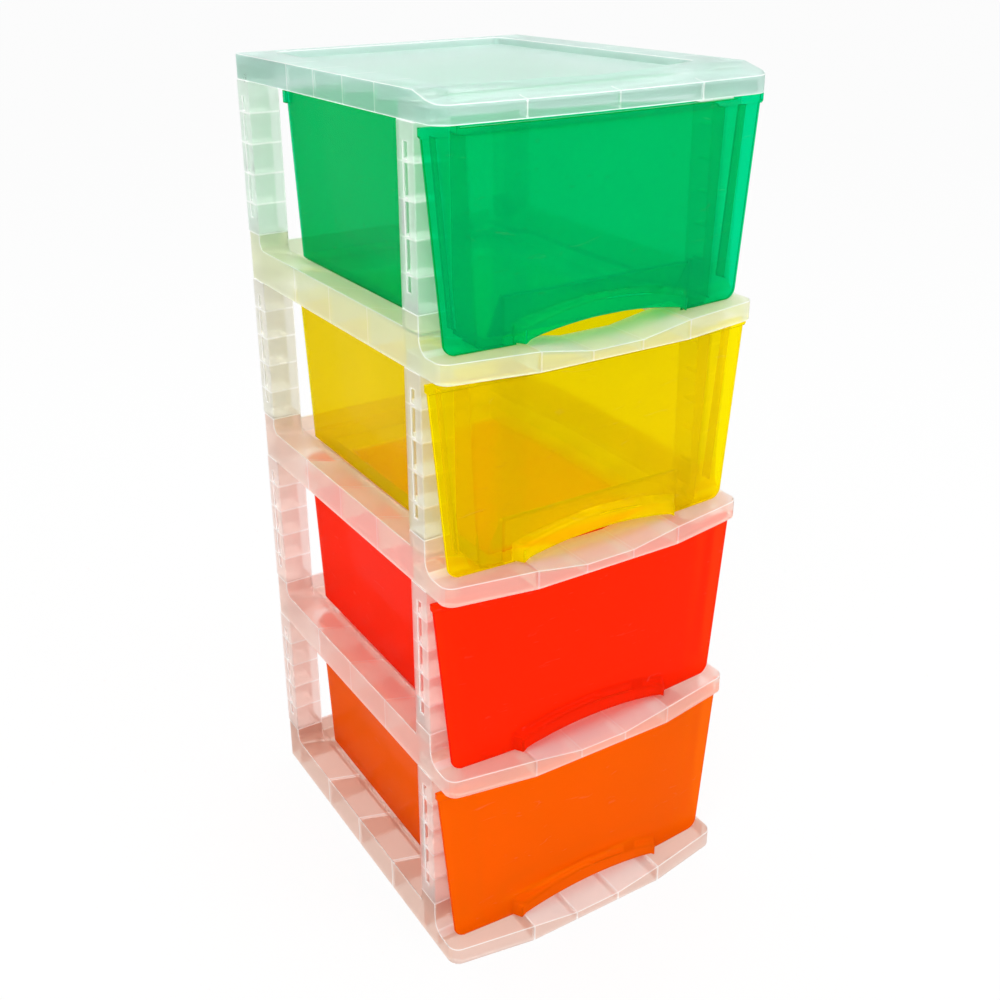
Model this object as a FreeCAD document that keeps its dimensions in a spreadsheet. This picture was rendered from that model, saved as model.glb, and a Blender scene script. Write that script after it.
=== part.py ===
import FreeCAD, Part

import functools
import os
import re

import Sketcher

# Plastic drawer tower: four drawers in a stack of frames that are held apart by corner posts.
# Origin: the middle of the footprint, on the floor. X is the width, -Y the front, Z up.
# Every frame, post, drawer and the cover is one injection moulding.

doc = FreeCAD.newDocument("drawer_tower")
sheet = doc.addObject("Spreadsheet::Sheet", "sizes")

TIERS = 4

SIZES = {
    # Whole tower
    "tower_width": 328,
    "tower_depth": 404,
    "tier_pitch": 200,
    "fit_gap": 0.3,
    "overrun": 2,
    # Frames
    "wall": 2.4,
    "rail_height": 35,
    "ledge_height": 25,
    "runner_height": 18.3,
    "runner_width": 24.5,
    "channel_width": 249,
    "front_depth": 48.2,
    "rear_depth": 42,
    "front_bow": 13.9,
    "front_flat": 156,
    "front_corner_radius": 12,
    "rear_corner_radius": 4,
    "cheek_radius": 13,
    "rear_cheek_radius": 9,
    "scoop_floor_width": 52,
    "scoop_drop": 8.8,
    "rib_wall": 1.6,
    "side_rib_pitch": 77,
    "side_rib_start": 63.6,
    # Posts and their sockets
    "post_width": 32,
    "post_depth": 27,
    "post_wall": 2.2,
    "socket_height": 50,
    "socket_depth": 16,
    "spigot_length": 15,
    "spigot_reach": 24,
    "web_wall": 1.6,
    "web_recess": 6.5,
    "web_bays": 5,
    "slot_width": 6.4,
    "slot_land": 3,
    "post_edge_radius": 1.6,
    # Cover
    "cover_height": 24,
    "cover_setback": 9.5,
    "cover_bow": 5,
    "cover_corner_radius": 15,
    "cover_lip_height": 14.5,
    "cover_lip_rise": 1.3,
    "cover_lip_land": 9,
    "tray_depth": 7,
    "tray_width": 258,
    "tray_rear_rim": 16,
    "tray_side_setback": 27,
    "tray_bow": 30,
    "tray_corner_radius": 9,
    "cover_rib_start": 33.6,
    "cover_rib_pitch": 57,
    "cover_rib_height": 12,
    "cover_rib_spread": 86,
    # Drawers
    "drawer_wall": 2.2,
    "drawer_height": 171.5,
    "drawer_front_setback": 22,
    "drawer_rear_setback": 24,
    "drawer_floor_width": 246,
    "drawer_side_draft": 7,
    "drawer_end_taper": 2.5,
    "drawer_bow": 7,
    "drawer_edge": 5,
    "drawer_corner_radius": 14,
    "grip_width": 192,
    "grip_depth": 25,
    "grip_height": 40,
    "front_wall": 3,
    "front_cover": 1.2,
    "front_foot_width": 306,
    "front_head_width": 335,
    "front_foot_radius": 11,
    "front_rim_height": 6,
    "front_rim_proud": 1.4,
    "front_ear_rise": 2.6,
    "front_ear_reach": 1.8,
    "front_ear_width": 31,
    "return_inset": 13,
    "return_wall": 2,
    "return_depth": 12,
    "return_foot": 20,
    "arch_width": 168,
    "arch_rise": 14.4,
    "arch_shoulder": 6.4,
    "arch_step": 5,
    "arch_foot": 2.9,
    "hood_reach": 8.4,
    "hood_crown": 28.4,
    "hood_foot": 14.4,
    "hood_slope": 6,
    "hood_flare": 7,
    "lug_reach": 7,
    "lug_depth": 8,
    "lug_height": 12,
}

for row, (name, size) in enumerate(SIZES.items(), start=1):
    sheet.set("A%d" % row, name)
    sheet.set("B%d" % row, str(size))
    sheet.setAlias("B%d" % row, name)
workings = doc.addObject("Spreadsheet::Sheet", "workings")
doc.recompute()

# Places that several pieces share, as formulas in the sheet's names
SIDE = "tower_width / 2"
REAR = "tower_depth / 2"
FRONT = "-tower_depth / 2"
STEP_BACK = "-tower_depth / 2 + front_depth"
CHANNEL = "channel_width / 2"
OPENING = "(channel_width / 2 - runner_width)"
POST_INNER = "(tower_width / 2 - post_width)"
ARC = "(1 - cos(45 deg))"
RAIL_SLOPE = "(rail_height - ledge_height) / (tower_width / 2 - channel_width / 2)"


def in_sheet(formula):
    return re.sub(r"[a-z_]+", lambda word: "sizes." + word[0] if word[0] in SIZES else word[0], formula)


@functools.lru_cache(maxsize=None)
def number(formula):
    """Works a formula out once, for the place where a sketch line starts."""
    workings.set("A1", "=" + in_sheet(formula))
    workings.recompute()
    return float(workings.get("A1"))


def bind(thing, field, formula):
    """Ties a field of an object to a formula in the sheet's names."""
    thing.setExpression(field, in_sheet(formula))


def minus(formula):
    return "-(" + formula + ")"


def new_body(label):
    body = doc.addObject("PartDesign::Body", label)
    body.Label = label
    return body


def sketch_on(body, name, plane, offset=None):
    """Opens a sketch on one of the body's origin planes, at an offset along the plane's normal."""
    sketch = body.newObject("Sketcher::SketchObject", name)
    origin_plane = [feature for feature in body.Origin.OriginFeatures if feature.Role == plane][0]
    sketch.AttachmentSupport = [(origin_plane, "")]
    sketch.MapMode = "FlatFace"
    if offset is not None:
        bind(sketch, "AttachmentOffset.Base.z", offset)
    return sketch


def plan_sketch(body, name, height=None):
    return sketch_on(body, name, "XY_Plane", height)


def front_sketch(body, name, y_place=None):
    """A sketch seen from the front: its own normal points to -Y."""
    return sketch_on(body, name, "XZ_Plane", None if y_place is None else minus(y_place))


def side_sketch(body, name, x_place=None):
    """A sketch seen from the side: across is Y, up is Z, and its normal points to +X."""
    return sketch_on(body, name, "YZ_Plane", x_place)


def pin_point(sketch, piece, end, point):
    for kind, formula in zip(("DistanceX", "DistanceY"), point):
        index = sketch.addConstraint(Sketcher.Constraint(kind, piece, end, number(formula)))
        bind(sketch, "Constraints[%d]" % index, formula)


def outline(sketch, points):
    """Draws a closed outline. A point marked "via" turns the line past it into an arc through it."""
    places = [FreeCAD.Vector(number(point[0]), number(point[1]), 0) for point in points]
    corners = [i for i, point in enumerate(points) if len(point) == 2]
    pieces = []
    for k, start in enumerate(corners):
        stop = corners[(k + 1) % len(corners)]
        middle = (start + 1) % len(points)
        if middle == stop:
            shape = Part.LineSegment(places[start], places[stop])
            ends = (1, 2)
        else:
            shape = Part.Arc(places[start], places[middle], places[stop])
            turn = (places[middle] - places[start]).cross(places[stop] - places[middle])
            ends = (1, 2) if turn.z > 0 else (2, 1)
        piece = sketch.addGeometry(shape, False)
        pieces.append((piece, ends, start))
        if middle != stop:
            spot = sketch.addGeometry(Part.Point(places[middle]), True)
            pin_point(sketch, spot, 1, points[middle][:2])
            sketch.addConstraint(Sketcher.Constraint("PointOnObject", spot, 1, piece))
    for k, (piece, ends, start) in enumerate(pieces):
        following, following_ends, _ = pieces[(k + 1) % len(pieces)]
        sketch.addConstraint(Sketcher.Constraint("Coincident", piece, ends[1], following, following_ends[0]))
        pin_point(sketch, piece, ends[0], points[start])
    return sketch


def rectangle(sketch, x_low, x_high, y_low, y_high):
    return outline(sketch, [(x_low, y_low), (x_high, y_low), (x_high, y_high), (x_low, y_high)])


def mirrored(points):
    """The same outline on the other side of the tower's middle plane."""
    return [(minus(point[0]),) + tuple(point[1:]) for point in reversed(points)]


def both_sides(sketch, points):
    outline(sketch, points)
    outline(sketch, mirrored(points))
    return sketch


def pad(body, name, sketch, length, back=False, middle=False):
    feature = body.newObject("PartDesign::Pad", name)
    feature.Profile = sketch
    bind(feature, "Length", length)
    feature.Reversed = back
    feature.Midplane = middle
    sketch.Visibility = False
    return feature


def pocket(body, name, sketch, length, forward=False, middle=False):
    """Cuts against the sketch's normal, or along it when forward is set."""
    before = solid_of(body).Volume
    feature = body.newObject("PartDesign::Pocket", name)
    feature.Profile = sketch
    bind(feature, "Length", length)
    feature.Reversed = forward
    feature.Midplane = middle
    sketch.Visibility = False
    if not solid_of(body).Volume < before:
        raise RuntimeError(name + " cuts nothing")
    return feature


def solid_of(body):
    doc.recompute()
    return body.Shape


def loft(body, name, kind, sketches):
    feature = body.newObject("PartDesign::" + kind, name)
    feature.Profile = sketches[0]
    feature.Sections = sketches[1:]
    feature.Ruled = True
    doc.recompute()
    return feature


def repeat(body, name, feature, axis_role, length, count):
    pattern = body.newObject("PartDesign::LinearPattern", name)
    pattern.Originals = [feature]
    axis = [item for item in body.Origin.OriginFeatures if item.Role == axis_role][0]
    pattern.Direction = (axis, [""])
    bind(pattern, "Length", length)
    pattern.Occurrences = count
    body.Tip = pattern
    doc.recompute()
    return pattern


def round_edges(body, name, radius, wanted):
    """Rounds the edges whose middle point and direction the wanted test accepts."""
    base = body.Tip
    doc.recompute()
    names = []
    for index, edge in enumerate(base.Shape.Edges, start=1):
        middle = edge.valueAt((edge.FirstParameter + edge.LastParameter) / 2)
        along = (edge.Vertexes[-1].Point - edge.Vertexes[0].Point)
        if along.Length > 0 and wanted(middle, along.normalize()):
            names.append("Edge%d" % index)
    if not names:
        raise RuntimeError(name + " finds no edge")
    feature = body.newObject("PartDesign::Fillet", name)
    feature.Base = (base, names)
    bind(feature, "Radius", radius)
    doc.recompute()
    return feature


def near(one, other):
    return abs(one - other) < number("fit_gap")


def upright(along):
    return abs(along.z) > abs(along.x) + abs(along.y)


def place(body, x_formula, y_formula, z_formula, turned=False):
    bind(body, "Placement.Base.x", x_formula)
    bind(body, "Placement.Base.y", y_formula)
    bind(body, "Placement.Base.z", z_formula)
    if turned:
        body.Placement.Rotation = FreeCAD.Rotation(FreeCAD.Vector(0, 0, 1), 180)


# Frames
# A ring open in the middle: two side rails with a sloping ledge and a runner for the drawer, a bowed
# front rail with a faceted finger scoop, a rear rail, and a socket tower for a post at each corner.

def tower_plan(front_corner, front_points):
    """The outline of a frame, from the rear right corner anticlockwise."""
    return [(SIDE, REAR), (minus(SIDE), REAR), (minus(SIDE), front_corner)] + front_points + [(SIDE, front_corner)]


POST_CORNERS = {
    "rear_left": (-1, REAR + " - post_depth / 2"),
    "rear_right": (1, REAR + " - post_depth / 2"),
    "front_left": (-1, STEP_BACK + " + post_depth / 2"),
    "front_right": (1, STEP_BACK + " + post_depth / 2"),
}


def corner_rectangles(sketch, inset):
    """One rectangle at each corner post, drawn in from the post's outline by an inset."""
    for side, middle in POST_CORNERS.values():
        inner = POST_INNER + " + " + inset
        outer = SIDE + " - " + inset
        low = "%s - post_depth / 2 + %s" % (middle, inset)
        high = "%s + post_depth / 2 - %s" % (middle, inset)
        if side > 0:
            rectangle(sketch, inner, outer, low, high)
        else:
            rectangle(sketch, minus(outer), minus(inner), low, high)
    return sketch


def frame(label):
    body = new_body(label)
    flat = "front_flat / 2"
    corner_y = FRONT + " + front_bow"
    plan = tower_plan(corner_y, [(minus(flat), FRONT), (flat, FRONT)])
    pad(body, "block", outline(plan_sketch(body, "plan"), plan), "rail_height")
    doc.recompute()

    # The front rail is lower than the side rails, with a hollow cheek up to the post sockets
    step = [
        (STEP_BACK, "rail_height + overrun"),
        (STEP_BACK, "runner_height + cheek_radius"),
        ("%s - cheek_radius * %s" % (STEP_BACK, ARC), "runner_height + cheek_radius * " + ARC, "via"),
        (STEP_BACK + " - cheek_radius", "runner_height"),
        (FRONT + " - overrun", "runner_height"),
        (FRONT + " - overrun", "rail_height + overrun"),
    ]
    pocket(body, "front_step", outline(side_sketch(body, "front_step_side"), step),
           "tower_width + overrun", middle=True)

    # The drawer's channel, open at the front, and the ledges that slope down to it
    channel = rectangle(front_sketch(body, "channel_front", REAR + " - wall"), minus(CHANNEL), CHANNEL,
                        "runner_height", "rail_height + overrun")
    pocket(body, "channel", channel, "tower_depth + overrun", forward=True)
    slope = [(SIDE, "rail_height"), (CHANNEL, "rail_height"), (CHANNEL, "ledge_height")]
    slopes = both_sides(front_sketch(body, "ledge_slopes", REAR + " + overrun"), slope)
    pocket(body, "ledges", slopes, "tower_depth + overrun", forward=True)
    opening = rectangle(plan_sketch(body, "opening_plan"), minus(OPENING), OPENING,
                        STEP_BACK, REAR + " - rear_depth")
    pocket(body, "opening", opening, "rail_height + overrun", forward=True)

    # The finger scoop: a low flat middle between two sloping facets
    edge = "front_flat / 2"
    low = "scoop_floor_width / 2"
    floor = "runner_height - scoop_drop"
    scoop = [(edge, "runner_height"), (edge, "runner_height + overrun"),
             (minus(edge), "runner_height + overrun"), (minus(edge), "runner_height"),
             (minus(low), floor), (low, floor)]
    pocket(body, "scoop", outline(front_sketch(body, "scoop_front", STEP_BACK + " + overrun"), scoop),
           "front_depth + 2 * overrun", forward=True)

    # The underside is open: the rails are thin walls over ribs
    ceiling = "rail_height - wall * (1 + %s)" % RAIL_SLOPE
    hollow = [
        (SIDE + " - wall", "-overrun"),
        (SIDE + " - wall", ceiling),
        (CHANNEL + " + wall", "ledge_height - wall"),
        (CHANNEL + " + wall", "runner_height - wall"),
        (OPENING + " + wall", "runner_height - wall"),
        (OPENING + " + wall", "-overrun"),
    ]
    side_length = "tower_depth - front_depth - 2 * post_depth"
    side_start = REAR + " - post_depth"
    pocket(body, "side_hollows", both_sides(front_sketch(body, "side_hollow_front", side_start), hollow),
           side_length, forward=True)
    rib = [(x, z.replace("-overrun", "0")) for x, z in hollow]
    rib_place = STEP_BACK + " + post_depth + side_rib_start"
    rib_pad = pad(body, "side_rib", both_sides(front_sketch(body, "side_rib_front", rib_place), rib), "rib_wall")
    repeat(body, "side_ribs", rib_pad, "Y_Axis", "2 * side_rib_pitch", 3)

    front_in = STEP_BACK + " - wall"
    bays = front_sketch(body, "front_bays", front_in)
    outline(bays, [(minus(low) + " + wall / 2", "-overrun"), (low + " - wall / 2", "-overrun"),
                   (low + " - wall / 2", floor + " - wall"), (minus(low) + " + wall / 2", floor + " - wall")])
    both_sides(bays, [(low + " + wall / 2", "-overrun"), (edge + " - wall / 2", "-overrun"),
                      (edge + " - wall / 2", "runner_height - 1.5 * wall"),
                      (low + " + wall / 2", floor + " - wall")])
    pocket(body, "front_hollows", bays, "front_depth - 2 * wall", forward=True)

    flat_bays = plan_sketch(body, "flat_bays")
    both_sides(flat_bays, [
        (edge + " + wall / 2", front_in),
        (edge + " + wall / 2", FRONT + " + 1.5 * wall"),
        (SIDE + " - front_corner_radius", corner_y + " + wall"),
        (SIDE + " - wall", corner_y + " + front_corner_radius"),
        (SIDE + " - wall", front_in),
    ])
    beside = (OPENING + " + wall", POST_INNER + " - wall")
    for middle in (STEP_BACK + " + post_depth / 2", REAR + " - post_depth / 2"):
        both_sides(flat_bays, [(beside[0], middle + " - post_depth / 2 + wall"),
                               (beside[1], middle + " - post_depth / 2 + wall"),
                               (beside[1], middle + " + post_depth / 2 - wall"),
                               (beside[0], middle + " + post_depth / 2 - wall")])
    rear_low = REAR + " - rear_depth + wall"
    rear_high = REAR + " - wall"
    middle_rib = "channel_width / 5"
    both_sides(flat_bays, [("rib_wall / 2", rear_low), (middle_rib + " - rib_wall / 2", rear_low),
                           (middle_rib + " - rib_wall / 2", rear_high), ("rib_wall / 2", rear_high)])
    both_sides(flat_bays, [(middle_rib + " + rib_wall / 2", rear_low), (OPENING, rear_low),
                           (OPENING, rear_high), (middle_rib + " + rib_wall / 2", rear_high)])
    pocket(body, "flat_hollows", flat_bays, "runner_height - wall", forward=True)

    # Socket towers for the posts: hollow above for the post that stands in it, and hollow below for
    # the end of the post that carries the frame
    towers = corner_rectangles(plan_sketch(body, "tower_plan"), "0")
    pad(body, "towers", towers, "socket_height")
    below = corner_rectangles(plan_sketch(body, "below_plan"), "post_wall")
    pocket(body, "below", below, "socket_height - socket_depth - wall", forward=True)
    above = corner_rectangles(plan_sketch(body, "above_plan", "socket_height"), "post_wall")
    pocket(body, "above", above, "socket_depth")

    side, rear = number(SIDE), number(REAR)
    front_y = number(corner_y)
    round_edges(body, "front_corners", "front_corner_radius",
                lambda at, along: upright(along) and near(abs(at.x), side) and near(at.y, front_y))
    round_edges(body, "rear_corners", "rear_corner_radius",
                lambda at, along: upright(along) and near(abs(at.x), side) and near(at.y, rear))
    socket_front = number(REAR + " - post_depth")
    ledge_low = number("ledge_height")
    round_edges(body, "rear_cheeks", "rear_cheek_radius",
                lambda at, along: abs(along.x) > abs(along.z) > 0 and near(at.y, socket_front)
                and at.z > ledge_low)
    return body


def tier_base(tier):
    return "%d * tier_pitch" % tier


FRAME_NAMES = ["base_frame", "lower_shelf_frame", "middle_shelf_frame", "upper_shelf_frame"]
for tier, label in enumerate(FRAME_NAMES):
    place(frame(label), "0", "0", tier_base(tier))


# Corner posts
# One moulding, used sixteen times: a channel that is open towards the drawers, stiffened by level
# webs, with a column of slots in its outer wall and a spigot on each end.

POST_LENGTH = "(tier_pitch - socket_height)"


def post(label):
    body = new_body(label)
    half = "post_depth / 2"
    channel = [
        ("0", minus(half)), ("post_width", minus(half)), ("post_width", minus(half) + " + post_wall"),
        ("post_wall", minus(half) + " + post_wall"), ("post_wall", half + " - post_wall"),
        ("post_width", half + " - post_wall"), ("post_width", half), ("0", half),
    ]
    pad(body, "channel", outline(plan_sketch(body, "channel_plan"), channel), POST_LENGTH)
    doc.recompute()
    depth = number(half)
    round_edges(body, "outer_edges", "post_edge_radius",
                lambda at, along: upright(along) and near(at.x, 0) and near(abs(at.y), depth))
    web_plan = rectangle(plan_sketch(body, "web_plan"), "post_wall / 2", "post_width - web_recess",
                         minus(half) + " + post_wall / 2", half + " - post_wall / 2")
    web = pad(body, "web", web_plan, "web_wall")
    webs = int(number("web_bays")) + 1
    repeat(body, "webs", web, "Z_Axis", POST_LENGTH + " - web_wall", webs)

    bay = "(%s - web_wall) / web_bays" % POST_LENGTH
    slots = side_sketch(body, "slot_side", "-overrun")
    for index in range(webs - 1):
        low = "%d * %s + web_wall / 2 + slot_land / 2" % (index, bay)
        high = "%d * %s + web_wall / 2 - slot_land / 2" % (index + 1, bay)
        if index == 0:
            low = "%s / 2 + web_wall / 2" % bay
        if index == webs - 2:
            high = "%d * %s + %s / 2 + web_wall / 2" % (index, bay, bay)
        rectangle(slots, "-slot_width / 2", "slot_width / 2", low, high)
    pocket(body, "slots", slots, "post_wall + 1.5 * overrun", forward=True)

    inset = "post_wall + fit_gap"
    for name, height, back in (("foot_spigot", "web_wall / 2", True),
                               ("head_spigot", POST_LENGTH + " - web_wall / 2", False)):
        spigot = plan_sketch(body, name + "_plan", height)
        rectangle(spigot, inset, "spigot_reach", "%s + %s" % (minus(half), inset), "%s - (%s)" % (half, inset))
        rectangle(spigot, inset + " + post_wall", "spigot_reach - post_wall",
                  "%s + %s + post_wall" % (minus(half), inset), "%s - (%s) - post_wall" % (half, inset))
        pad(body, name, spigot, "spigot_length + web_wall / 2", back=back)
    doc.recompute()
    return body


TIER_NAMES = ["bottom", "lower", "upper", "top"]
for tier, tier_name in enumerate(TIER_NAMES):
    for corner, (side, middle) in POST_CORNERS.items():
        piece = post("post_%s_%s" % (tier_name, corner))
        outer = SIDE if side > 0 else minus(SIDE)
        place(piece, outer, middle, tier_base(tier) + " + socket_height", turned=side > 0)


# Cover
# A lid with a deep skirt, a front edge that slopes down to a lip, a shallow tray in its top, ribs
# under its rim and a socket for each of the top posts.

def cover(label):
    body = new_body(label)
    front = FRONT + " + cover_setback"
    corner = front + " + cover_bow"
    plan = tower_plan(corner, [("0", front, "via")])
    pad(body, "block", outline(plan_sketch(body, "plan"), plan), "cover_height")
    side, rear = number(SIDE), number(REAR)
    corner_y = number(corner)
    round_edges(body, "front_corners", "cover_corner_radius",
                lambda at, along: upright(along) and near(abs(at.x), side) and near(at.y, corner_y))

    lip_knee = front + " + cover_lip_land"
    knee_height = "cover_lip_height + cover_lip_rise"
    lip = [(STEP_BACK, "cover_height + overrun"), (STEP_BACK, "cover_height"), (lip_knee, knee_height),
           (front + " - overrun", "cover_lip_height"), (front + " - overrun", "cover_height + overrun")]
    pocket(body, "front_slope", outline(side_sketch(body, "front_slope_side"), lip),
           "tower_width + overrun", middle=True)
    tray_side = "tray_width / 2"
    tray_front = STEP_BACK + " + tray_side_setback"
    tray = [(tray_side, REAR + " - tray_rear_rim"), (minus(tray_side), REAR + " - tray_rear_rim"),
            (minus(tray_side), tray_front), ("0", tray_front + " - tray_bow", "via"), (tray_side, tray_front)]
    pocket(body, "tray", outline(plan_sketch(body, "tray_plan", "cover_height"), tray), "tray_depth")
    tray_edge, tray_rear = number(tray_side), number(REAR + " - tray_rear_rim")
    round_edges(body, "tray_corners", "tray_corner_radius",
                lambda at, along: upright(along) and near(abs(at.x), tray_edge) and near(at.y, tray_rear))

    # The underside: a wide hollow under the tray, and a deeper one under the raised rim
    inner = SIDE + " - wall"
    tray_under = "cover_height - tray_depth - wall"
    rim_under = "cover_height - wall"
    wide = rectangle(plan_sketch(body, "wide_plan"), minus(inner), inner, STEP_BACK, REAR + " - wall")
    pocket(body, "wide_hollow", wide, tray_under, forward=True)
    front_hollow = plan_sketch(body, "front_hollow_plan")
    blunt = "cover_corner_radius"
    outline(front_hollow, [(inner, STEP_BACK), (minus(inner), STEP_BACK),
                           (minus(inner), corner + " + " + blunt),
                           ("%s + %s" % (minus(SIDE), blunt), corner + " + wall"),
                           ("0", front + " + wall", "via"),
                           ("%s - %s" % (SIDE, blunt), corner + " + wall"),
                           (inner, corner + " + " + blunt)])
    pocket(body, "front_hollow", front_hollow, "cover_lip_height - wall", forward=True)
    rim = plan_sketch(body, "rim_plan")
    both_sides(rim, [(tray_side + " + wall", STEP_BACK + " + wall"), (inner, STEP_BACK + " + wall"),
                     (inner, REAR + " - wall"), (tray_side + " + wall", REAR + " - wall")])
    pocket(body, "rim_hollows", rim, rim_under, forward=True)
    rear_rim = rectangle(plan_sketch(body, "rear_rim_plan"), minus(tray_side), tray_side,
                         REAR + " - tray_rear_rim + wall", REAR + " - wall")
    pocket(body, "rear_hollow", rear_rim, rim_under, forward=True)

    # Ribs under the side rims, and three behind the front lip
    rib_low = rim_under + " - cover_rib_height"
    rib = [(tray_side + " + wall / 2", rib_low), (SIDE + " - wall / 2", rib_low),
           (SIDE + " - wall / 2", rim_under + " + wall / 2"), (tray_side + " + wall / 2", rim_under + " + wall / 2")]
    rib_place = STEP_BACK + " + post_depth + cover_rib_start"
    rib_pad = pad(body, "rim_rib", both_sides(front_sketch(body, "rim_rib_front", rib_place), rib), "rib_wall")
    repeat(body, "rim_ribs", rib_pad, "Y_Axis", "3 * cover_rib_pitch", 4)
    lip_ribs = plan_sketch(body, "lip_ribs_plan", "rib_wall")
    rib_rear = front + " + cover_rib_height"
    both_sides(lip_ribs, [("cover_rib_spread - rib_wall / 2", front + " + wall / 2"),
                          ("cover_rib_spread + rib_wall / 2", front + " + wall / 2"),
                          ("cover_rib_spread + rib_wall / 2", rib_rear),
                          ("cover_rib_spread - rib_wall / 2", rib_rear)])
    rectangle(lip_ribs, "-rib_wall / 2", "rib_wall / 2", front + " + wall / 2", rib_rear)
    pad(body, "lip_ribs", lip_ribs, "cover_lip_height - rib_wall - wall / 2")

    sockets = corner_rectangles(plan_sketch(body, "socket_plan"), "0")
    corner_rectangles(sockets, "post_wall")
    pad(body, "sockets", sockets, rim_under + " + wall / 2")
    doc.recompute()
    round_edges(body, "rear_corners", "rear_corner_radius",
                lambda at, along: upright(along) and near(abs(at.x), side) and near(at.y, rear))
    return body


place(cover("top_cover"), "0", "0", tier_base(TIERS))


# Drawers
# A tub that is wider at its top and its front, with a broad bowed front that stands in front of the
# posts. A hood moulded over an arch in its lower edge is the handle, and the tub is cut back behind it.

FOOT = "runner_height + fit_gap"


def bowed(half, place):
    """How far back the bowed front lies at some distance from the tower's middle plane."""
    return "%s + drawer_bow * (%s)^2 / (front_head_width / 2)^2" % (place, half)


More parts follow.
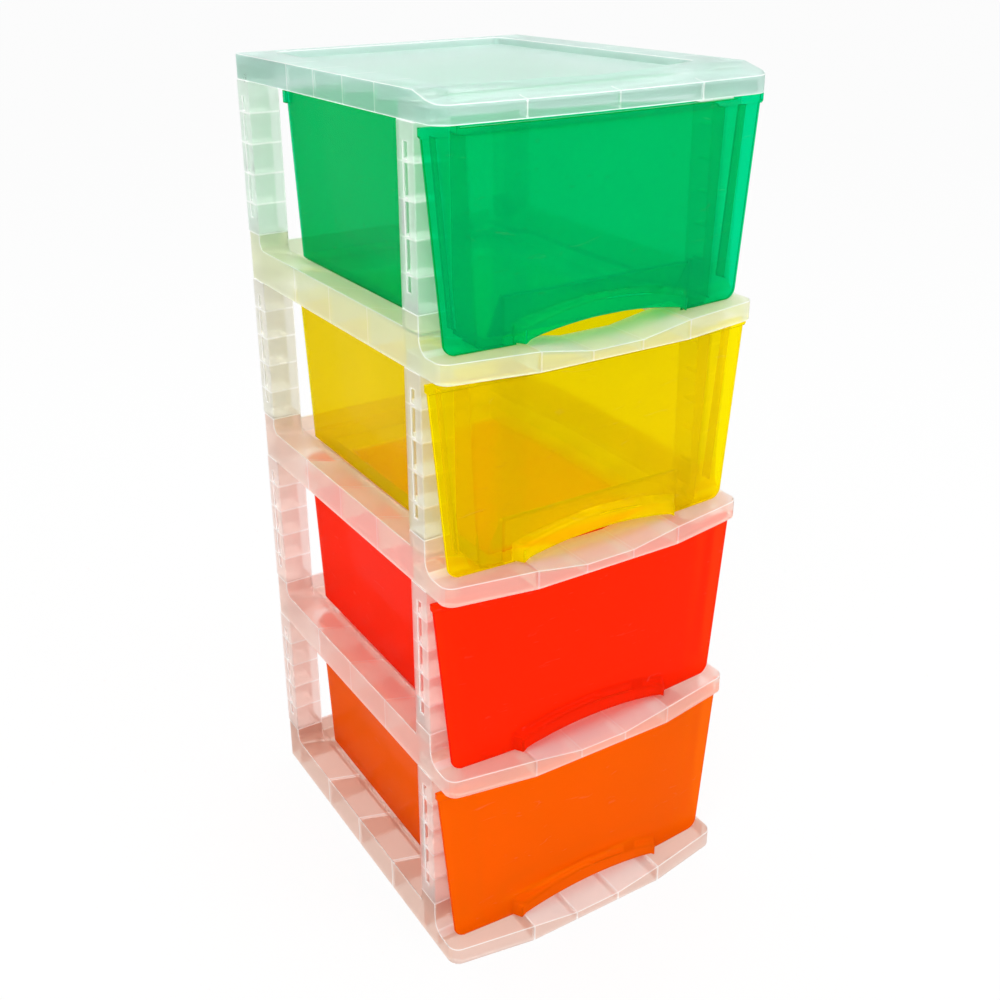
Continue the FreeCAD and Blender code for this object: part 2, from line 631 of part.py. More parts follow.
def drawer(label):
    body = new_body(label)
    face = FRONT + " + drawer_front_setback"
    rear = REAR + " - drawer_rear_setback"
    head = FOOT + " + drawer_height"

    # The tub, with a sloping edge round its floor, and the hollow in it one wall thickness inside
    def tub_plan(half, inset, back, in_front):
        """A level outline: its half-width, how far its rear lies inside the tub's, and its front."""
        narrow = half + " - drawer_end_taper"
        back = "%s - (%s)" % (back, inset)
        radius = "(drawer_corner_radius - (%s))" % inset
        blunt = "%s * %s" % (radius, ARC)
        corner = [(narrow, "%s - %s" % (back, radius)), ("%s - %s" % (narrow, blunt), "%s - %s" % (back, blunt), "via"),
                  ("%s - %s" % (narrow, radius), back)]
        return corner + mirrored(corner) + [(minus(half), bowed(half, in_front)), ("0", in_front, "via"),
                                            (half, bowed(half, in_front))]

    floor_half = "drawer_floor_width / 2"
    mouth_half = floor_half + " + drawer_side_draft"
    outer_front = face + " + front_cover"
    inner_front = outer_front + " + drawer_wall"
    spare = "drawer_wall * (sqrt(2) - 1)"
    levels = [
        ("AdditiveLoft", "tub", outer_front, [
            (FOOT, floor_half + " - drawer_edge", "drawer_edge"),
            (FOOT + " + drawer_edge", floor_half, "0"),
            (head, mouth_half, "0")]),
        ("SubtractiveLoft", "hollow", inner_front, [
            (FOOT + " + drawer_wall", "%s - drawer_edge - %s" % (floor_half, spare), "drawer_edge + " + spare),
            ("%s + drawer_edge + %s" % (FOOT, spare), floor_half + " - drawer_wall", "drawer_wall"),
            (head, mouth_half + " - drawer_wall", "drawer_wall")]),
    ]
    for kind, name, in_front, sections in levels:
        plans = [outline(plan_sketch(body, "%s_plan_%d" % (name, index), height),
                         tub_plan(half, inset, rear, in_front))
                 for index, (height, half, inset) in enumerate(sections, start=1)]
        loft(body, name, kind, plans)

    # Behind the handle the tub's lower front corner is cut back, and closed by a sloping wall
    grip_half = "grip_width / 2"
    block_half = "(grip_width / 2 + drawer_wall)"
    in_wall = face + " + front_cover + drawer_wall / 2"
    grip_rear = face + " + front_wall + grip_depth"
    block = [(block_half, grip_rear + " + drawer_wall"), (minus(block_half), grip_rear + " + drawer_wall"),
             (minus(block_half), bowed(block_half, in_wall)), ("0", in_wall, "via"),
             (block_half, bowed(block_half, in_wall))]
    pad(body, "grip_block", outline(plan_sketch(body, "grip_block_plan", FOOT + " + drawer_wall / 2"), block),
        "grip_height + drawer_wall / 2")
    ceiling = FOOT + " + grip_height"
    slope_top = face + " + front_wall + drawer_bow"
    above = [(slope_top, ceiling + " + drawer_wall"), (grip_rear + " + drawer_wall", FOOT + " + drawer_wall"),
             (grip_rear + " + 2 * drawer_wall", FOOT + " + drawer_wall"),
             (grip_rear + " + 2 * drawer_wall", ceiling + " + 2 * drawer_wall"),
             (slope_top, ceiling + " + 2 * drawer_wall")]
    pocket(body, "grip_slope", outline(side_sketch(body, "grip_slope_side"), above),
           "grip_width + 3 * drawer_wall", middle=True)
    grip = [(face + " - overrun", ceiling), (slope_top, ceiling), (grip_rear, FOOT),
            (grip_rear, FOOT + " - overrun"), (face + " - overrun", FOOT + " - overrun")]
    pocket(body, "grip", outline(side_sketch(body, "grip_side"), grip), "2 * " + grip_half, middle=True)

    # The broad front: a bowed strip, cut to its outline, with a thicker rim and an ear at each end
    wing = "(front_head_width / 2 + front_ear_reach)"

    def strip(proud):
        near_face = "%s - %s" % (face, proud)
        back = face + " + front_wall"
        return [(wing, bowed(wing, near_face)), (wing, bowed(wing, back)), ("0", back, "via"),
                (minus(wing), bowed(wing, back)), (minus(wing), bowed(wing, near_face)), ("0", near_face, "via")]

    tall = head + " + front_rim_height"
    pad(body, "front", outline(plan_sketch(body, "front_plan", FOOT), strip("0")),
        "drawer_height + front_rim_height / 2")
    pad(body, "front_rim", outline(plan_sketch(body, "front_rim_plan", head), strip("front_rim_proud")),
        "front_rim_height + front_ear_rise")
    doc.recompute()

    # Everything outside the front's outline is cut away
    outside = front_sketch(body, "front_outline", face + " + front_wall + drawer_bow + fit_gap")
    reach = wing + " + overrun"
    top = tall + " + front_ear_rise"
    rectangle(outside, minus(reach), reach, FOOT + " - overrun", top + " + overrun")
    foot = "front_foot_width / 2"
    ear_start = "(front_head_width / 2 - front_ear_width)"
    head_half = "front_head_width / 2"
    arch = "arch_width / 2"
    half_outline = [
        (foot + " - front_foot_radius", FOOT),
        ("%s - front_foot_radius * %s" % (foot, ARC), "%s + front_foot_radius * %s" % (FOOT, ARC), "via"),
        (foot, FOOT + " + front_foot_radius"),
        (head_half, head),
        (wing, head + " + front_ear_reach"),
        (wing, top),
        (ear_start, top),
        (ear_start, tall),
    ]
    other_half = [(minus(point[0]),) + tuple(point[1:]) for point in reversed(half_outline)]
    arch_line = [
        (minus(arch), FOOT),
        (minus(arch), FOOT + " + arch_foot"),
        ("%s + arch_step" % minus(arch), FOOT + " + arch_shoulder"),
        ("0", FOOT + " + arch_rise", "via"),
        (arch + " - arch_step", FOOT + " + arch_shoulder"),
        (arch, FOOT + " + arch_foot"),
        (arch, FOOT),
    ]
    outline(outside, half_outline + other_half + arch_line)
    pocket(body, "front_trim", outside, "drawer_bow + front_wall + front_rim_proud + overrun", forward=True)

    # The hood over the arch: it swells out of the front to a lip that the fingers pull on, and is
    # hollow behind and open below
    def hood_plan(name, place, half, rise, low):
        crown_side = "%s + hood_foot + %s" % (FOOT, rise)
        crown = "%s + hood_crown + %s" % (FOOT, rise)
        return outline(front_sketch(body, name, place),
                       [(minus(half), low), (half, low), (half, crown_side), ("0", crown, "via"),
                        (minus(half), crown_side)])

    root = arch + " + hood_flare"
    lip_place = face + " - hood_reach"
    loft(body, "hood", "AdditiveLoft", [
        hood_plan("hood_root", face + " + front_wall", root, "hood_slope", FOOT + " + arch_foot"),
        hood_plan("hood_lip", lip_place, arch, "0", FOOT + " + arch_foot")])
    loft(body, "hood_hollow", "SubtractiveLoft", [
        hood_plan("hollow_root", face + " + front_wall + drawer_bow / 2", root + " - drawer_wall",
                  "hood_slope - drawer_wall", FOOT),
        hood_plan("hollow_lip", lip_place + " + drawer_wall", arch + " - drawer_wall", "-drawer_wall", FOOT)])
    under = [(minus(arch), FOOT + " - overrun")] + arch_line[1:-1] + [(arch, FOOT + " - overrun")]
    pocket(body, "arch", outline(front_sketch(body, "arch_front", face), under),
           "hood_reach + overrun", forward=True)

    # A return behind each wing stiffens it, and a lug at each rear corner stops the drawer at a post
    low_z = FOOT + " + return_foot"
    drift = "(front_head_width - front_foot_width) / 2 / drawer_height * return_foot"
    low_x = "%s + %s - return_inset" % (foot, drift)
    high_x = head_half + " - return_inset"
    returns = front_sketch(body, "returns_front", bowed(high_x, face + " + front_wall / 2"))
    both_sides(returns, [(low_x, low_z), (high_x, head), (high_x + " - return_wall", head),
                         (low_x + " - return_wall", low_z)])
    pad(body, "returns", returns, "return_depth", back=True)
    lugs = plan_sketch(body, "lug_plan", head + " - lug_height")
    lug_inner = mouth_half + " - drawer_end_taper - 1.5 * drawer_wall"
    lug_front = rear + " - drawer_corner_radius - lug_depth / 2"
    both_sides(lugs, [(lug_inner, lug_front), (lug_inner + " + lug_reach", lug_front),
                      (lug_inner + " + lug_reach", lug_front + " + lug_depth"),
                      (lug_inner, lug_front + " + lug_depth")])
    pad(body, "lugs", lugs, "lug_height")
    doc.recompute()
    return body


for tier, label in enumerate(["orange_drawer", "red_drawer", "yellow_drawer", "green_drawer"]):
    place(drawer(label), "0", "0", tier_base(tier))


doc.recompute()
for item in doc.Objects:
    if "Invalid" in item.State or "Error" in item.State:
        raise RuntimeError("%s is not built: %s" % (item.Label, item.State))

os.makedirs("parts", exist_ok=True)
for body in doc.findObjects("PartDesign::Body"):
    shape = body.Shape
    if shape.isNull() or not shape.isValid():
        raise RuntimeError(body.Label + " has no valid shape")
    shape.exportStep(os.path.join("parts", body.Label + ".step"))
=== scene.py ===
from math import radians

import bmesh
import bpy
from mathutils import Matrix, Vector


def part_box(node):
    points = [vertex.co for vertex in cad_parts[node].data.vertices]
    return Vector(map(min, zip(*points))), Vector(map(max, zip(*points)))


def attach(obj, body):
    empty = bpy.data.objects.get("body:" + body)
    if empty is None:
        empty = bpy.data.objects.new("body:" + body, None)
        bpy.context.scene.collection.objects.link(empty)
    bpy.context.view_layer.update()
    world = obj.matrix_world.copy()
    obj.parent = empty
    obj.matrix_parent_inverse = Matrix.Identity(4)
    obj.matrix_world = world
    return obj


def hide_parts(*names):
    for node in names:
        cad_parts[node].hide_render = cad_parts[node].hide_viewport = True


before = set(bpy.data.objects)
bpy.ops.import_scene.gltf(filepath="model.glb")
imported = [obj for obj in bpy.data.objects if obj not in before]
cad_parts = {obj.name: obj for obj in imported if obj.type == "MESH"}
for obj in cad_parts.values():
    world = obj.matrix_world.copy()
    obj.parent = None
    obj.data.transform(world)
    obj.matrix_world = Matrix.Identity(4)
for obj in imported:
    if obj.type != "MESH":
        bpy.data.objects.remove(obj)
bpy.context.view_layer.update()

# Room.
# A pale floor under a plain white sky, and three large soft lamps as in a small photo studio.
# The floor looks white to the camera but keeps the tower's shadow.

FLOOR_REACH = 60
FLOOR_COLOUR = (0.90, 0.90, 0.89, 1)
FLOOR_WHITE_SHARE = 0.92
SKY_COLOUR = (0.97, 0.985, 1.0, 1)
SKY_STRENGTH = 0.72
LAMP_AIM = Vector((0, 0, 0.4))


def add(tree, kind, sockets=None, **settings):
    """A new shader node with its settings made. Each socket is linked, or set where it is a value."""
    made = tree.nodes.new("ShaderNode" + kind)
    for name, value in settings.items():
        setattr(made, name, value)
    for name, value in (sockets or {}).items():
        if isinstance(value, bpy.types.NodeSocket):
            tree.links.new(value, made.inputs[name])
        else:
            made.inputs[name].default_value = value
    return made


def worked(tree, operation, first, second=0):
    """The result of one Math node. Each of its two values is a socket or a number."""
    return add(tree, "Math", {0: first, 1: second}, operation=operation).outputs[0]


def seen_directly(tree):
    """1 for a ray that shows the background as it is: from the camera, a reflection or through plastic."""
    ray = add(tree, "LightPath").outputs
    camera_or_gloss = worked(tree, "MAXIMUM", ray["Is Camera Ray"], ray["Is Glossy Ray"])
    return worked(tree, "MAXIMUM", camera_or_gloss, ray["Is Transmission Ray"])


floor_mesh = bpy.data.meshes.new("studio_floor")
floor_corners = [(x * FLOOR_REACH, y * FLOOR_REACH, 0) for x, y in ((-1, -1), (1, -1), (1, 1), (-1, 1))]
floor_mesh.from_pydata(floor_corners, [], [(0, 1, 2, 3)])
studio_floor = bpy.data.objects.new("studio_floor", floor_mesh)
bpy.context.collection.objects.link(studio_floor)

floor_paint = bpy.data.materials.new("floor_paint")
floor_paint.use_nodes = True
paint_tree = floor_paint.node_tree
paint_tree.nodes.clear()
matt = add(paint_tree, "BsdfPrincipled",
           {"Base Color": FLOOR_COLOUR, "Roughness": 0.9, "Specular IOR Level": 0.1})
plain_white = add(paint_tree, "Emission", {"Color": (1, 1, 1, 1), "Strength": 1.0})
white_share = worked(paint_tree, "MULTIPLY", seen_directly(paint_tree), FLOOR_WHITE_SHARE)
both_paints = add(paint_tree, "MixShader", {0: white_share, 1: matt.outputs[0], 2: plain_white.outputs[0]})
add(paint_tree, "OutputMaterial", {"Surface": both_paints.outputs[0]})
floor_mesh.materials.append(floor_paint)

sky = bpy.data.worlds.new("studio_sky")
sky.use_nodes = True
bpy.context.scene.world = sky
sky_tree = sky.node_tree
sky_tree.nodes.clear()
soft_sky = add(sky_tree, "Background", {"Color": SKY_COLOUR, "Strength": SKY_STRENGTH})
white_sky = add(sky_tree, "Background", {"Color": (1, 1, 1, 1), "Strength": 1.0})
both_skies = add(sky_tree, "MixShader",
                 {0: seen_directly(sky_tree), 1: soft_sky.outputs[0], 2: white_sky.outputs[0]})
add(sky_tree, "OutputWorld", {"Surface": both_skies.outputs[0]})

for name, place, size, power in (("key_lamp", (-1.9, -1.7, 2.6), 1.8, 46),
                                 ("front_lamp", (1.4, -2.6, 1.5), 1.8, 24),
                                 ("top_lamp", (0.2, 0.6, 3.0), 1.6, 22)):
    lamp = bpy.data.lights.new(name, "AREA")
    lamp.shape = "SQUARE"
    lamp.size = size
    lamp.energy = power
    holder = bpy.data.objects.new(name, lamp)
    holder.location = place
    holder.rotation_euler = (LAMP_AIM - Vector(place)).to_track_quat("-Z", "Y").to_euler()
    bpy.context.collection.objects.link(holder)

# The camera stands at the front left, a little above the cover, and looks down at the tower.
lens = bpy.data.cameras.new("tower_camera")
lens.sensor_width = 36
lens.lens = 43.541
lens.shift_x = 0.0408
lens.shift_y = -0.0738
camera = bpy.data.objects.new("tower_camera", lens)
camera.location = (-0.60233, -0.95821, 0.93283)
camera.rotation_euler = (1.179899, 0.014504, -0.539135)
bpy.context.collection.objects.link(camera)
bpy.context.scene.camera = camera
bpy.context.scene.view_settings.view_transform = "Standard"

# Frames.
# Four equal frames, each moulded in one piece from clear polypropylene that its mould leaves frosted.
# Painted highlights make the edges and the lines over the ribs brighter, for the light that gathers there,
# and each frame's colour has painted in it a little of the light that the drawers beside it throw.

SAME_POINT = 0.00001
FLAT_ANGLE = radians(0.6)
EDGE_ANGLE = radians(32)
SHARP_ANGLE = radians(40)
FROSTED_ROUNDING = 0.0007
FROSTED_GRAIN = (700, 0.00005)
FROSTED_SHADOW = (0.97, 0.98, 0.97)
FRONT_RAIL_BACK = -0.154
RIB_HALF_WIDTH = 0.0012
FRONT_RIBS = ("side", 0.026, 0.052, 0.078, "Y", -0.21, FRONT_RAIL_BACK)
SIDE_RIBS = ("Y", -0.0632, 0.077, 0.0908, "side", 0.1245, 0.17)


def room_beside(line, face):
    """How wide a face is across one of its edges: a rounding there needs less than that."""
    corner = next(corner for corner in line.link_loops if corner.face is face)
    start, end = corner.vert.co, corner.link_loop_next.vert.co
    along = (end - start).normalized()
    inward = face.normal.cross(along)
    least = 1.0
    for part in (0.1, 0.5, 0.9):
        spot = start.lerp(end, part)
        for other in face.loops:
            near, far = other.vert.co - spot, other.link_loop_next.vert.co - spot
            passed, ahead = near.dot(along), far.dot(along)
            if other is not corner and (passed > 0) != (ahead > 0):
                across = near.dot(inward) + (far - near).dot(inward) * passed / (passed - ahead)
                if across > 0.000001:
                    least = min(least, across)
    return least


def moulding(node, name, radius, room, finishes):
    """The node's own shape with its outer edges rounded as a mould leaves them. The roundings take
    the second material, a painted highlight or painted shade. An edge is left sharp where its faces are
    narrower than room."""
    shape = bmesh.new()
    shape.from_mesh(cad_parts[node].data)
    bmesh.ops.remove_doubles(shape, verts=shape.verts, dist=SAME_POINT)
    bmesh.ops.dissolve_limit(shape, angle_limit=FLAT_ANGLE, verts=shape.verts, edges=shape.edges)
    outer = [line for line in shape.edges
             if len(line.link_faces) == 2 and line.is_convex and line.calc_face_angle(0) > EDGE_ANGLE]
    if room:
        outer = [line for line in outer if all(room_beside(line, face) > room for face in line.link_faces)]
    bmesh.ops.bevel(shape, geom=outer, offset=radius, offset_type="OFFSET", segments=2, profile=0.5,
                    affect="EDGES", clamp_overlap=False, material=1)
    for face in shape.faces:
        face.smooth = True
    mesh = bpy.data.meshes.new(name)
    shape.to_mesh(mesh)
    shape.free()
    mesh.set_sharp_from_angle(angle=SHARP_ANGLE)
    for finish in finishes:
        mesh.materials.append(finish)
    piece = bpy.data.objects.new(name, mesh)
    bpy.context.collection.objects.link(piece)
    even_shading = piece.modifiers.new("even_shading", "WEIGHTED_NORMAL")
    even_shading.keep_sharp = True
    return piece


skin_group = bpy.data.node_groups.new("moulded_skin", "ShaderNodeTree")
for socket_name, direction, kind in (("Plastic Colour", "INPUT", "NodeSocketColor"),
                                     ("Plastic Roughness", "INPUT", "NodeSocketFloat"),
                                     ("Grain Size", "INPUT", "NodeSocketFloat"),
                                     ("Grain Depth", "INPUT", "NodeSocketFloat"),
                                     ("Colour", "OUTPUT", "NodeSocketColor"),
                                     ("Roughness", "OUTPUT", "NodeSocketFloat"),
                                     ("Normal", "OUTPUT", "NodeSocketVector")):
    skin_group.interface.new_socket(socket_name, in_out=direction, socket_type=kind)
given = skin_group.nodes.new("NodeGroupInput").outputs
spot_on_piece = add(skin_group, "TexCoord").outputs["Object"]

# The melt cools unevenly, so the plastic is a little denser, and its skin rougher, in soft clouds.
cloud = add(skin_group, "TexNoise", {"Scale": 9, "Detail": 3, "Vector": spot_on_piece}).outputs["Fac"]
cloud_shade = add(skin_group, "MapRange", {"To Min": 0.94, "To Max": 1.04, "Value": cloud})
cloud_rough = add(skin_group, "MapRange", {"To Min": 0.85, "To Max": 1.15, "Value": cloud})

# Fine scuffs from handling: thin broken lines, mostly level, where the skin is paler and rougher.
levelled = add(skin_group, "Mapping", {"Scale": (14, 14, 60), "Vector": spot_on_piece})
broken_lines = add(skin_group, "TexNoise", {"Scale": 2.2, "Detail": 6, "Distortion": 1.2,
                                            "Vector": levelled.outputs["Vector"]})
scuffed = add(skin_group, "MapRange", {"From Min": 0.66, "From Max": 0.72,
                                       "Value": broken_lines.outputs["Fac"]})
scuff = worked(skin_group, "MULTIPLY", scuffed.outputs["Result"], 0.04)

# The grain that the mould's own surface leaves.
grain = add(skin_group, "TexNoise", {"Detail": 4, "Vector": spot_on_piece, "Scale": given["Grain Size"]})
grain_skin = add(skin_group, "Bump", {"Strength": 0.25, "Distance": given["Grain Depth"],
                                      "Height": grain.outputs["Fac"]})

shaded = add(skin_group, "VectorMath", {0: given["Plastic Colour"], "Scale": cloud_shade.outputs["Result"]},
             operation="SCALE")
paler = add(skin_group, "Mix", {"Factor": scuff, "A": shaded.outputs["Vector"], "B": (0.93, 0.93, 0.93, 1)},
            data_type="RGBA")
rough_skin = worked(skin_group, "MULTIPLY", given["Plastic Roughness"], cloud_rough.outputs["Result"])
put_out = skin_group.nodes.new("NodeGroupOutput").inputs
skin_group.links.new(paler.outputs["Result"], put_out["Colour"])
skin_group.links.new(worked(skin_group, "ADD", rough_skin, scuff), put_out["Roughness"])
skin_group.links.new(grain_skin.outputs["Normal"], put_out["Normal"])

# Painted highlight: a bright line on the wall's outer side where a rib stands behind it, for the light that
# gathers there.
rib_glow_group = bpy.data.node_groups.new("painted_rib_glow", "ShaderNodeTree")
for socket_name in ("Along", "First", "Pitch", "Last", "Across", "Across From", "Across To"):
    rib_glow_group.interface.new_socket(socket_name, in_out="INPUT", socket_type="NodeSocketFloat")
rib_glow_group.interface.new_socket("Line", in_out="OUTPUT", socket_type="NodeSocketFloat")
given = rib_glow_group.nodes.new("NodeGroupInput").outputs
from_first = worked(rib_glow_group, "SUBTRACT", given["Along"], given["First"])
past_last = worked(rib_glow_group, "SUBTRACT", given["Along"], given["Last"])
off_rib = worked(rib_glow_group, "PINGPONG", from_first, worked(rib_glow_group, "MULTIPLY", given["Pitch"], 0.5))
near_rib = worked(rib_glow_group, "SUBTRACT", 1, worked(rib_glow_group, "DIVIDE", off_rib, RIB_HALF_WIDTH))
soft_line = worked(rib_glow_group, "MULTIPLY", worked(rib_glow_group, "MAXIMUM", near_rib, 0), 1.8)
in_rows = worked(rib_glow_group, "MULTIPLY",
                 worked(rib_glow_group, "GREATER_THAN", from_first, -2 * RIB_HALF_WIDTH),
                 worked(rib_glow_group, "LESS_THAN", past_last, 2 * RIB_HALF_WIDTH))
in_band = worked(rib_glow_group, "MULTIPLY",
                 worked(rib_glow_group, "GREATER_THAN", given["Across"], given["Across From"]),
                 worked(rib_glow_group, "LESS_THAN", given["Across"], given["Across To"]))
kept_line = worked(rib_glow_group, "MULTIPLY", worked(rib_glow_group, "MINIMUM", soft_line, 1),
                   worked(rib_glow_group, "MULTIPLY", in_rows, in_band))
put_out = rib_glow_group.nodes.new("NodeGroupOutput").inputs
rib_glow_group.links.new(kept_line, put_out["Line"])


def plastic(name, colour, roughness, clear, index, grain, shadow_tint, ribs=()):
    """See-through moulded plastic: light passes it, tinted, and its skin has grain, clouds and scuffs.
    Each row of ribs, over which a bright line is painted as a highlight, gives the axis they follow one
    another on, the first, their spacing and the last, then an axis and the band on it that they keep to.
    The axis called side runs out from the middle."""
    material = bpy.data.materials.new(name)
    material.use_nodes = True
    tree = material.node_tree
    tree.nodes.clear()
    skin = tree.nodes.new("ShaderNodeGroup")
    skin.node_tree = skin_group
    for socket_name, value in (("Plastic Colour", colour + (1,)), ("Plastic Roughness", roughness),
                               ("Grain Size", grain[0]), ("Grain Depth", grain[1])):
        skin.inputs[socket_name].default_value = value
    shown = skin.outputs["Colour"]
    if ribs:
        axes = add(tree, "SeparateXYZ", {"Vector": add(tree, "TexCoord").outputs["Object"]}).outputs
        places = {"side": worked(tree, "ABSOLUTE", axes["X"]), "Y": axes["Y"], "Z": axes["Z"]}
    for along, first, pitch, last, across, across_from, across_to in ribs:
        line = tree.nodes.new("ShaderNodeGroup")
        line.node_tree = rib_glow_group
        tree.links.new(places[along], line.inputs["Along"])
        tree.links.new(places[across], line.inputs["Across"])
        for socket_name, value in (("First", first), ("Pitch", pitch), ("Last", last),
                                   ("Across From", across_from), ("Across To", across_to)):
            line.inputs[socket_name].default_value = value
        # Painted highlight: the colour is lifted towards white along each rib.
        shown = add(tree, "Mix", {"Factor": line.outputs["Line"], "A": shown, "B": (1, 1, 0.99, 1)},
                    data_type="RGBA").outputs["Result"]
    body = add(tree, "BsdfPrincipled", {"Base Color": shown, "Roughness": skin.outputs["Roughness"],
                                        "Normal": skin.outputs["Normal"],
                                        "Transmission Weight": clear, "IOR": index})

    # Lamp light passes through as well, so the tower's shadow is pale and tinted.
    lets_pass = worked(tree, "MULTIPLY", add(tree, "LightPath").outputs["Is Shadow Ray"], 0.95)
    passing = add(tree, "BsdfTransparent", {"Color": shadow_tint + (1,)})
    both = add(tree, "MixShader", {0: lets_pass, 1: body.outputs[0], 2: passing.outputs[0]})
    add(tree, "OutputMaterial", {"Surface": both.outputs[0]})
    return material


def frosted(name, colour, ribs=(), roughness=0.3, clear=0.73, index=1.1):
    """The frosted plastic, as it looks on one kind of face."""
    return plastic("frosted_plastic_" + name, colour, roughness, clear, index,
                   FROSTED_GRAIN, FROSTED_SHADOW, ribs)


# Painted highlight: the roundings of the frosted parts are whiter and less clear than the faces, for the
# light that gathers in edges.
frosted_edge_painted_highlight = frosted("edge", (0.98, 0.98, 0.97), roughness=0.4, clear=0.45, index=1.06)
LEDGE_PAINTED_LIGHT_SLOT, FRONT_DRAWER_GLOW_SLOT = 2, 3

# Painted light: each frame's first tint is the coloured light of the drawers beside it, painted into the
# plastic; the last tint does the same on its front faces.
for node, drawer_glow_tint, front_drawer_glow_tint in (("base_frame", (0.82, 0.60, 0.51), (0.80, 0.60, 0.53)),
                               ("lower_shelf_frame", (0.93, 0.77, 0.71), (0.92, 0.70, 0.60)),
                               ("middle_shelf_frame", (0.93, 0.79, 0.72), (0.94, 0.70, 0.60)),
                               ("upper_shelf_frame", (0.86, 0.88, 0.72), (0.84, 0.85, 0.58))):
    # Painted light: the ledge tint is the frame's tint made paler, as if its top faces were lit more.
    ledge_painted_light_tint = tuple(0.45 * part + 0.54 for part in drawer_glow_tint)
    finishes = (frosted(node, drawer_glow_tint, (FRONT_RIBS, SIDE_RIBS)), frosted_edge_painted_highlight,
                frosted("ledge_" + node, ledge_painted_light_tint, (FRONT_RIBS,), roughness=0.35, clear=0.55, index=1.08),
                frosted("front_" + node, front_drawer_glow_tint, (FRONT_RIBS,)))
    piece = moulding(node, node + "_moulding", FROSTED_ROUNDING, 0, finishes)
    # Painted light: up-facing ledge faces take the paler lit tint, front faces the drawers' painted light.
    for face in piece.data.polygons:
        if face.material_index == 0 and face.center.y < FRONT_RAIL_BACK:
            if face.normal.z > 0.8:
                face.material_index = LEDGE_PAINTED_LIGHT_SLOT
            elif face.normal.y < -0.5:
                face.material_index = FRONT_DRAWER_GLOW_SLOT
    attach(piece, "tower")
    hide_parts(node)

# Corner posts.
# Sixteen equal posts of the same frosted polypropylene, each a channel with level webs and a column
# of slots. Their spigots push into the frames' sockets, so the tower goes together without screws.

POST_FIRST_WEB = 0.03048
POST_WEB_PITCH = 0.02968
POST_LAST_WEB = 0.11952
WEB_PAINTED_HIGHLIGHT_SLOT = 2

# Painted highlight: the level faces of the webs are whiter and less clear, so they show as bright lines.
frosted_web_painted_highlight = frosted("web", (0.98, 0.98, 0.97), roughness=0.4, clear=0.4, index=1.06)
# Painted light: each tier's posts carry the coloured light of the drawers beside them, painted into their
# tint.
for tier, foot, drawer_glow_tint in (("bottom", 0.05, (0.90, 0.77, 0.72)), ("lower", 0.25, (0.90, 0.78, 0.73)),
                         ("upper", 0.45, (0.84, 0.83, 0.77)), ("top", 0.65, (0.80, 0.88, 0.82))):
    web_glow_rows = ("Z", foot + POST_FIRST_WEB, POST_WEB_PITCH, foot + POST_LAST_WEB, "side", 0, 1)
    finishes = (frosted(tier + "_posts", drawer_glow_tint, (web_glow_rows,)), frosted_edge_painted_highlight, frosted_web_painted_highlight)
    for corner in ("rear_left", "rear_right", "front_left", "front_right"):
        node = "post_%s_%s" % (tier, corner)
        piece = moulding(node, node + "_moulding", FROSTED_ROUNDING, 0, finishes)
        for face in piece.data.polygons:
            if face.material_index == 0 and abs(face.normal.z) > 0.9:
                face.material_index = WEB_PAINTED_HIGHLIGHT_SLOT
        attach(piece, "tower")
        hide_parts(node)

# Cover.
# One frosted moulding with a shallow tray in its top and ribs under its rims. It pushes down onto the
# top posts, and its skirt hides their ends. Its tint has the green drawer's light painted in, and the
# skirt is painted darker, a painted shade for having less behind it.

COVER_RIBS = (("side", 0, 0.086, 0.086, "Y", -0.21, -0.18),
              ("Y", -0.0932, 0.057, 0.0778, "side", 0.131, 0.17))
SKIRT_PAINTED_SHADE_SLOT = 2

# Painted light and shade: the cover's tint holds the green drawer's light, the skirt's darker tint is
# painted shade.
finishes = (frosted("cover", (0.70, 0.83, 0.79), COVER_RIBS), frosted_edge_painted_highlight,
            frosted("skirt", (0.56, 0.73, 0.67), COVER_RIBS, clear=0.76))
piece = moulding("top_cover", "top_cover_moulding", FROSTED_ROUNDING, 0, finishes)
for face in piece.data.polygons:
    outside = abs(face.center.x) > 0.15 or face.center.y < -0.17
    if face.material_index == 0 and outside and abs(face.normal.z) < 0.3:
        face.material_index = SKIRT_PAINTED_SHADE_SLOT
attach(piece, "tower")
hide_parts("top_cover")

# Drawers.
# Four equal tubs in tinted clear polypropylene, glossier than the frames. Each is one moulding with its
# front and the hood over its grip, and slides on its frame's runners.

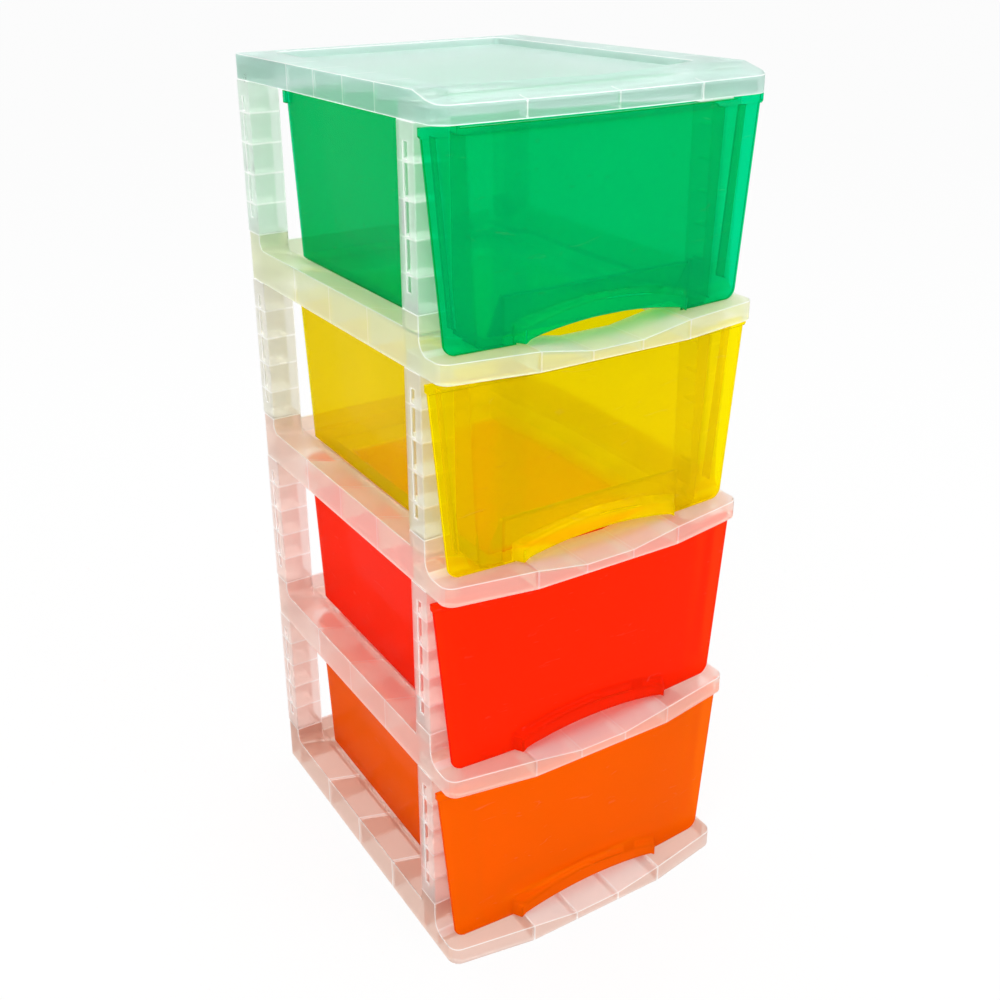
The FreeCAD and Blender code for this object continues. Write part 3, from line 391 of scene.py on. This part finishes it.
DRAWER_ROUNDING = 0.0006
ROUNDING_ROOM = 0.0014
TINTED_INDEX = 1.06
TINTED_GRAIN = (14, 0.00003)
FRONT_FACE_Y = -0.1803
HOOD_SLOPE_Y = -0.1765
HOOD_HEIGHT = 0.052
HOOD_PAINTED_SHADING_SLOT, HOOD_OUTLINE_PAINTED_SHADE_SLOT = 2, 3

# Painted shading: the edge tint is darker than the face for green, red and orange, and lighter for yellow.
for colour_name, clear, face_colour, edge_painted_shading, hood_painted_shading in (
        ("green", 0.8, (0.0, 0.67, 0.28), (0.0, 0.30, 0.04), (0.0, 0.64, 0.20)),
        ("yellow", 0.8, (0.92, 0.78, 0.0), (1.0, 0.80, 0.0), (0.96, 0.80, 0.0)),
        ("red", 0.65, (1.0, 0.045, 0.003), (0.72, 0.008, 0.001), (0.92, 0.03, 0.002)),
        ("orange", 0.45, (0.92, 0.16, 0.0), (0.74, 0.075, 0.0), (0.88, 0.14, 0.0))):
    node = colour_name + "_drawer"
    # Painted shade: the hood's outline is the hood tint darkened, and the hood tint itself is painted
    # darker, or on yellow lighter, than the face.
    hood_outline_painted_shade = tuple(part * 0.62 for part in hood_painted_shading)
    finishes = [plastic(colour_name + "_plastic" + ending, tint, roughness, part_clear, TINTED_INDEX,
                        TINTED_GRAIN, face_colour)
                for ending, tint, roughness, part_clear in (("", face_colour, 0.17, clear),
                                                            ("_edge", edge_painted_shading, 0.2, 0.3),
                                                            ("_hood", hood_painted_shading, 0.2, clear * 0.86),
                                                            ("_hood_painted_outline", hood_outline_painted_shade, 0.3, 0.3))]
    piece = moulding(node, node + "_moulding", DRAWER_ROUNDING, ROUNDING_ROOM, finishes)
    hood_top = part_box(node)[0][2] + HOOD_HEIGHT
    for face in piece.data.polygons:
        slanted = face.center.y < HOOD_SLOPE_Y and (face.normal.z > 0.25 or abs(face.normal.x) > 0.6)
        if face.center.z < hood_top:
            if face.material_index == 0 and (slanted or face.center.y < FRONT_FACE_Y):
                face.material_index = HOOD_PAINTED_SHADING_SLOT
            elif face.material_index == 1 and face.center.y < FRONT_FACE_Y - 0.0003:
                face.material_index = HOOD_OUTLINE_PAINTED_SHADE_SLOT
    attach(piece, node)
    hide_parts(node)
